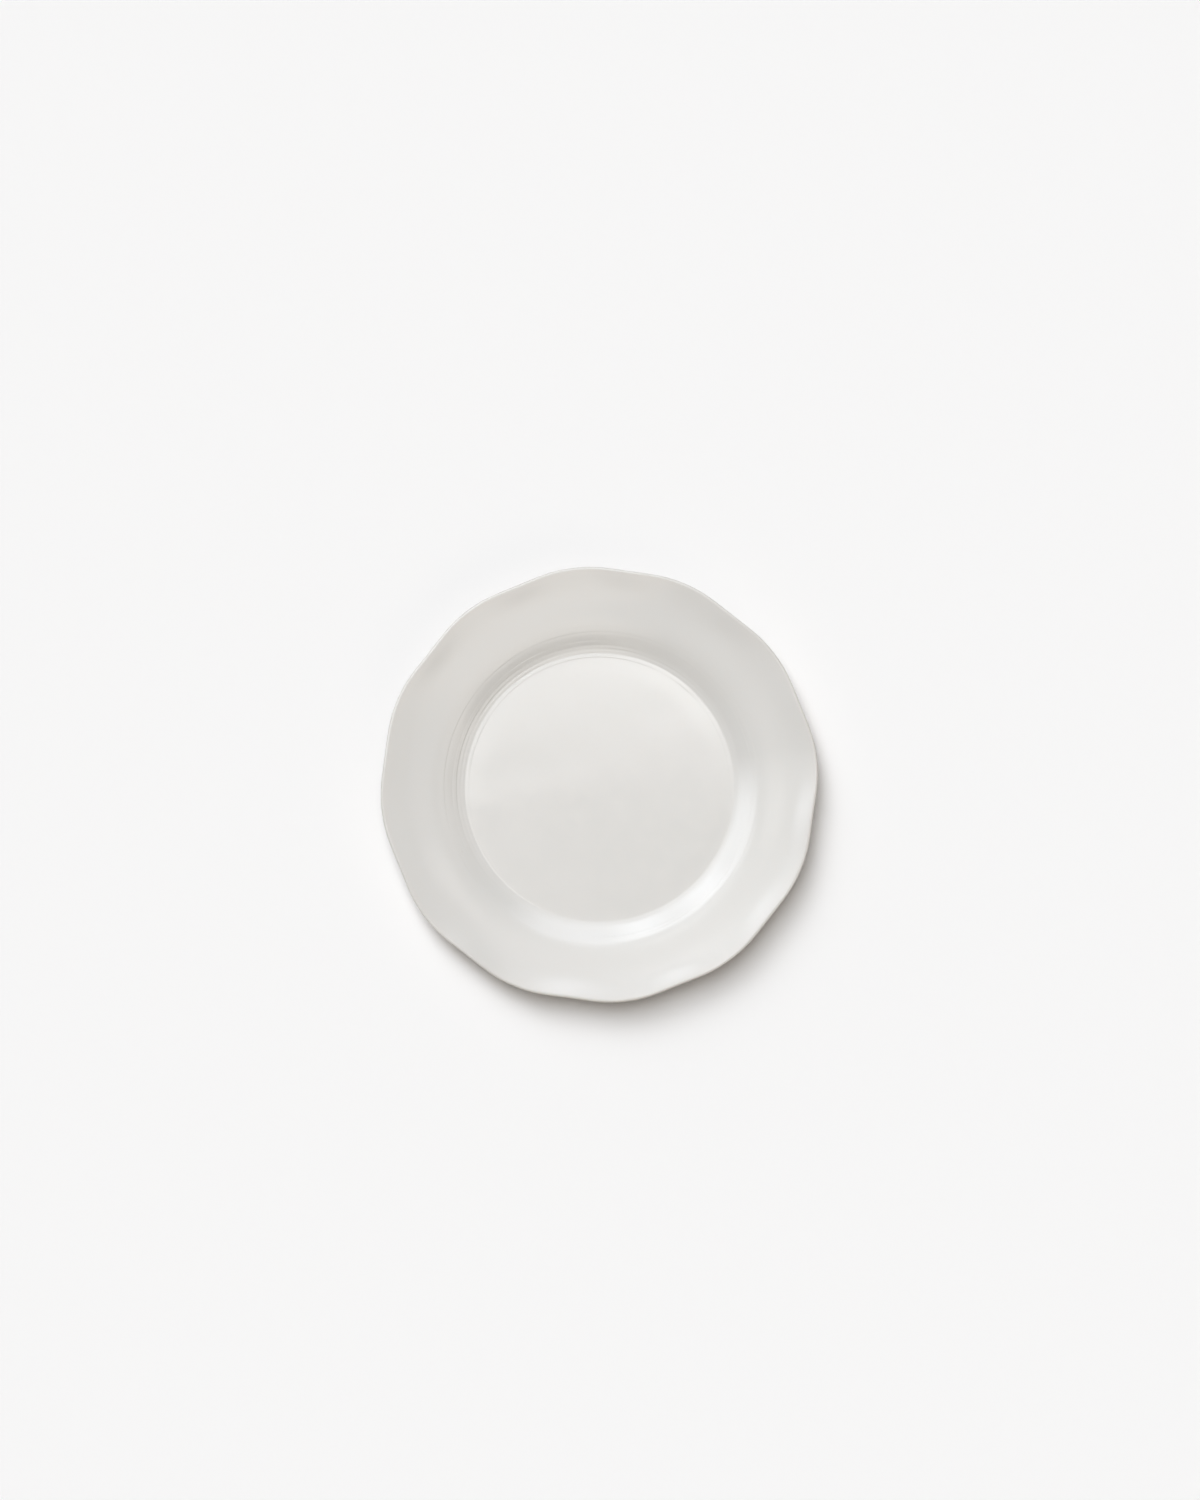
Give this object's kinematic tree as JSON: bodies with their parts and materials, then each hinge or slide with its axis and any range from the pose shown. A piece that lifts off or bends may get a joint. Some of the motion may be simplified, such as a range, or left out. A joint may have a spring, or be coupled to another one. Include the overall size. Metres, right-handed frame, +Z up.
{
  "type": "soup plate",
  "caption": "Round glazed soup plate with a flat-bottomed well, a wide rim that turns up to a softly lobed edge, and a low unglazed foot ring.",
  "frame": {"origin": "on the plate's axis, at the level of the table it stands on", "axes": "+Z up the axis out of the well; +X and +Y level, +X to the right and +Y to the top of a view from above"},
  "size_m": [0.2392, 0.2392, 0.0241],
  "materials": {
    "bare_clay": "fine sanded clay, matt",
    "glaze": "warm off-white gloss glaze"
  },
  "bodies": {
    "root": {"clay_body": "bare_clay", "foot_ring": "bare_clay", "face_glaze": "glaze", "back_glaze": "glaze", "recess_glaze": "glaze"}
  },
  "joints": []
}
